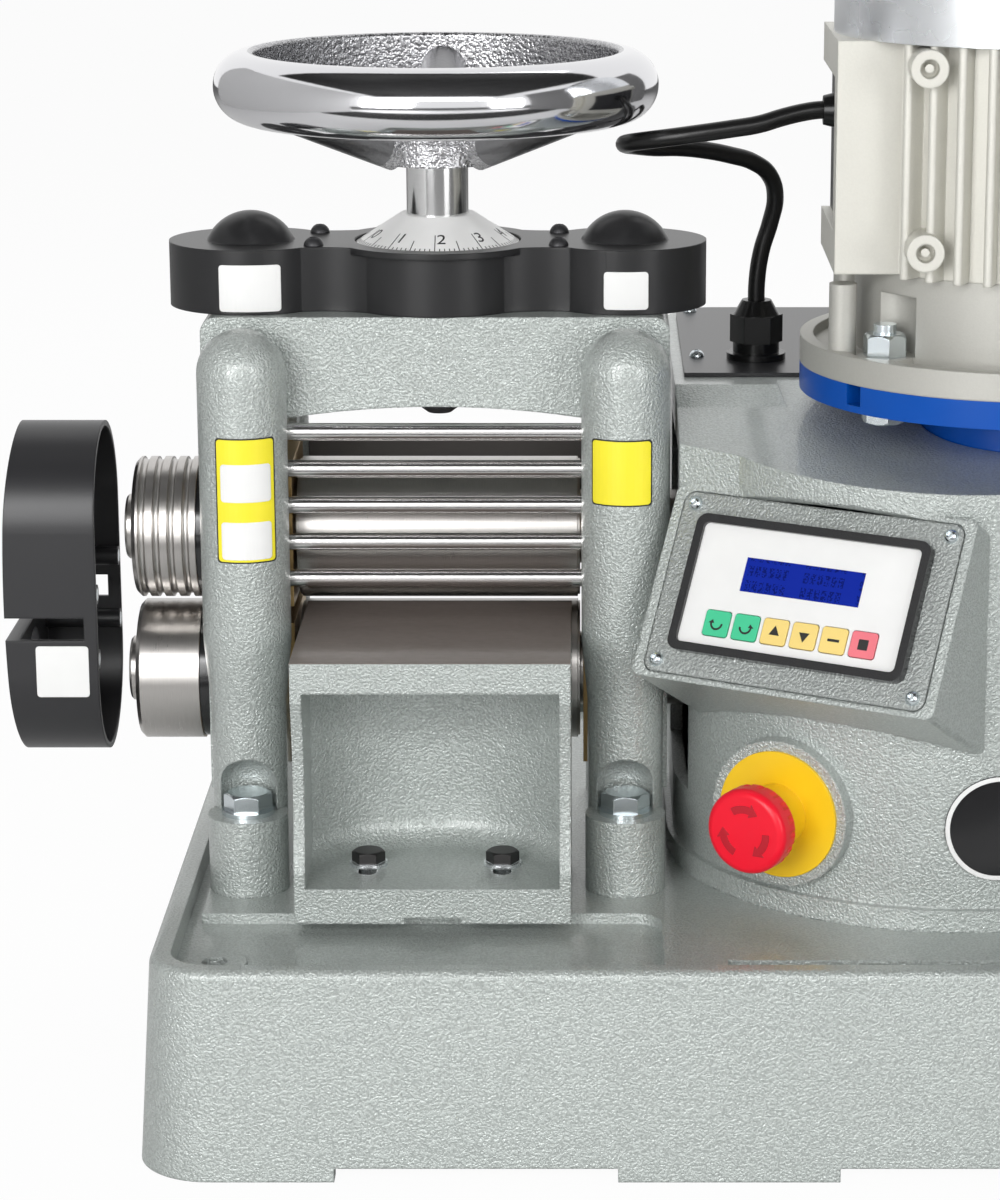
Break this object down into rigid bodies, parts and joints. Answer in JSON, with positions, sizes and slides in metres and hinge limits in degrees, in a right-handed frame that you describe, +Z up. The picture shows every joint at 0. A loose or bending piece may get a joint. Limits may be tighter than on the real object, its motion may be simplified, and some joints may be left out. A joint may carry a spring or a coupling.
{
  "type": "electric rolling mill",
  "caption": "Bench rolling mill: motor-driven flat rolls with grooved side rolls, a screw-down handwheel with dial, rest table, control panel and stop button on a cast tray base.",
  "frame": {"origin": "centre of the four bench bolt holes, on the bench under the base", "axes": "+Z up, -Y towards the user at the rest table, +X from the mill towards the gear housing"},
  "size_m": [0.5771, 0.44, 0.547],
  "materials": {
    "casting_paint": "hammered grey enamel over cast iron",
    "table_iron": "hammered grey enamel, machined dark top",
    "polished_steel": "fine ground",
    "zinc_steel": "bright zinc",
    "black_steel": "black oxide",
    "bronze": "dull bearing bronze",
    "black_plastic": "fine grained black",
    "chrome": "polished chrome",
    "dial_white": "white with black marks",
    "grey_plate": "grey hammered enamel",
    "white_face": "white film",
    "lcd_blue": "lit blue window",
    "yellow": "satin yellow",
    "red": "satin red",
    "key_green": "soft film",
    "key_yellow": "soft film",
    "key_red": "soft film",
    "black_gloss": "glossy black",
    "cable_black": "smooth black sheath",
    "blue_paint": "gloss blue enamel",
    "motor_alloy": "die cast, light grey",
    "cowl_steel": "bright sheet",
    "magnet": "nickel"
  },
  "bodies": {
    "mill": {"base_casting": "casting_paint", "mill_frame": "casting_paint", "frame_bolts": "zinc_steel", "rest_table": "table_iron", "table_bolts": "black_steel", "guide_bars": "polished_steel", "lower_blocks": "bronze", "gear_cover": "black_plastic", "cover_screws": "black_steel", "gear_housing": "casting_paint", "panel_plate": "grey_plate", "case_screws": "zinc_steel", "keypad_bezel": "black_gloss", "keypad_face": "white_face", "lcd_window": "lcd_blue", "stop_plate": "yellow", "badge_disc": "black_gloss", "rear_cover": "black_steel", "cable_glands": "black_plastic", "motor_cable": "cable_black", "reducer_case": "blue_paint", "motor_flange": "motor_alloy", "motor_body": "motor_alloy", "terminal_lid": "black_plastic", "fan_cowl": "cowl_steel", "motor_bolts": "zinc_steel", "rear_shield": "black_steel"},
    "handwheel": {"handwheel": "chrome", "handwheel_shaft": "polished_steel", "dial": "dial_white", "shaft_retainer": "black_steel"},
    "idler_left": {"idler_left": "polished_steel"},
    "idler_right": {"idler_right": "polished_steel"},
    "lifting_nut_left": {"lifting_nut_left": "bronze"},
    "lifting_nut_right": {"lifting_nut_right": "bronze"},
    "lift": {"upper_blocks": "bronze", "lifting_screws": "polished_steel"},
    "top_roll": {"top_roll": "polished_steel", "top_side_roll": "polished_steel", "top_spacer": "black_plastic", "top_roll_gear": "polished_steel"},
    "bottom_roll": {"bottom_roll": "polished_steel", "bottom_side_roll": "polished_steel", "bottom_spacer": "black_plastic", "bottom_roll_gear": "polished_steel", "worm_wheel": "bronze"},
    "rotor": {"motor_rotor": "polished_steel", "motor_fan": "black_plastic"},
    "guard": {"guard": "black_plastic", "guard_magnets": "magnet"},
    "stop_stem": {"stop_stem": "black_plastic"},
    "stop_head": {"stop_head": "red"},
    "key_1": {"key_1": "key_green"},
    "key_2": {"key_2": "key_green"},
    "key_3": {"key_3": "key_yellow"},
    "key_4": {"key_4": "key_yellow"},
    "key_5": {"key_5": "key_yellow"},
    "key_6": {"key_6": "key_red"}
  },
  "joints": [
    {"name": "handwheel_turn", "type": "hinge", "parent": "mill", "child": "handwheel", "pos_m": [-0.128, -0.01, 0.351], "axis": [0, 0, 1], "range_deg": [-540, 540]},
    {"name": "idler_left_turn", "type": "hinge", "parent": "mill", "child": "idler_left", "pos_m": [-0.1655, -0.01, 0.351], "axis": [0, 0, 1], "range_deg": [-620, 620]},
    {"name": "idler_right_turn", "type": "hinge", "parent": "mill", "child": "idler_right", "pos_m": [-0.0905, -0.01, 0.351], "axis": [0, 0, 1], "range_deg": [-620, 620]},
    {"name": "nut_left_turn", "type": "hinge", "parent": "mill", "child": "lifting_nut_left", "pos_m": [-0.213, -0.01, 0.351], "axis": [0, 0, 1], "range_deg": [-361, 361]},
    {"name": "nut_right_turn", "type": "hinge", "parent": "mill", "child": "lifting_nut_right", "pos_m": [-0.043, -0.01, 0.351], "axis": [0, 0, 1], "range_deg": [-361, 361]},
    {"name": "roll_lift", "type": "slide", "parent": "mill", "child": "lift", "axis": [0, 0, 1], "range_m": [-0.00301, 0.00301]},
    {"name": "bottom_roll_spin", "type": "hinge", "parent": "mill", "child": "bottom_roll", "pos_m": [-0.128, -0.01, 0.168], "axis": [1, 0, 0], "continuous": true},
    {"name": "top_roll_spin", "type": "hinge", "parent": "lift", "child": "top_roll", "pos_m": [-0.128, -0.01, 0.236], "axis": [1, 0, 0], "continuous": true},
    {"name": "motor_spin", "type": "hinge", "parent": "mill", "child": "rotor", "pos_m": [0.135, -0.048, 0.4], "axis": [0, 0, 1], "continuous": true},
    {"name": "guard_slide", "type": "slide", "parent": "mill", "child": "guard", "axis": [1, 0, 0], "range_m": [0, 0.05]},
    {"name": "stop_press", "type": "slide", "parent": "mill", "child": "stop_stem", "axis": [0.5105, 0.8599, 0], "range_m": [0, 0.004], "stiffness_N_per_m": 600},
    {"name": "stop_twist", "type": "hinge", "parent": "stop_stem", "child": "stop_head", "pos_m": [0.024, -0.125, 0.133], "axis": [0.5105, 0.8599, 0], "range_deg": [0, 40], "stiffness_Nm_per_rad": 0.05},
    {"name": "key_1_press", "type": "slide", "parent": "mill", "child": "key_1", "axis": [0.4474, 0.7535, -0.4818], "range_m": [0, 0.0004], "stiffness_N_per_m": 400},
    {"name": "key_2_press", "type": "slide", "parent": "mill", "child": "key_2", "axis": [0.4474, 0.7535, -0.4818], "range_m": [0, 0.0004], "stiffness_N_per_m": 400},
    {"name": "key_3_press", "type": "slide", "parent": "mill", "child": "key_3", "axis": [0.4474, 0.7535, -0.4818], "range_m": [0, 0.0004], "stiffness_N_per_m": 400},
    {"name": "key_4_press", "type": "slide", "parent": "mill", "child": "key_4", "axis": [0.4474, 0.7535, -0.4818], "range_m": [0, 0.0004], "stiffness_N_per_m": 400},
    {"name": "key_5_press", "type": "slide", "parent": "mill", "child": "key_5", "axis": [0.4474, 0.7535, -0.4818], "range_m": [0, 0.0004], "stiffness_N_per_m": 400},
    {"name": "key_6_press", "type": "slide", "parent": "mill", "child": "key_6", "axis": [0.4474, 0.7535, -0.4818], "range_m": [0, 0.0004], "stiffness_N_per_m": 400}
  ],
  "couplings": [
    {"joint": "idler_left_turn", "follows": "handwheel_turn", "ratio": -1.1429},
    {"joint": "idler_right_turn", "follows": "handwheel_turn", "ratio": -1.1429},
    {"joint": "nut_left_turn", "follows": "handwheel_turn", "ratio": 0.66667},
    {"joint": "nut_right_turn", "follows": "handwheel_turn", "ratio": 0.66667},
    {"joint": "roll_lift", "follows": "handwheel_turn", "m_per_rad": 0.00031831},
    {"joint": "top_roll_spin", "follows": "bottom_roll_spin", "ratio": -1},
    {"joint": "motor_spin", "follows": "bottom_roll_spin", "ratio": 30}
  ]
}
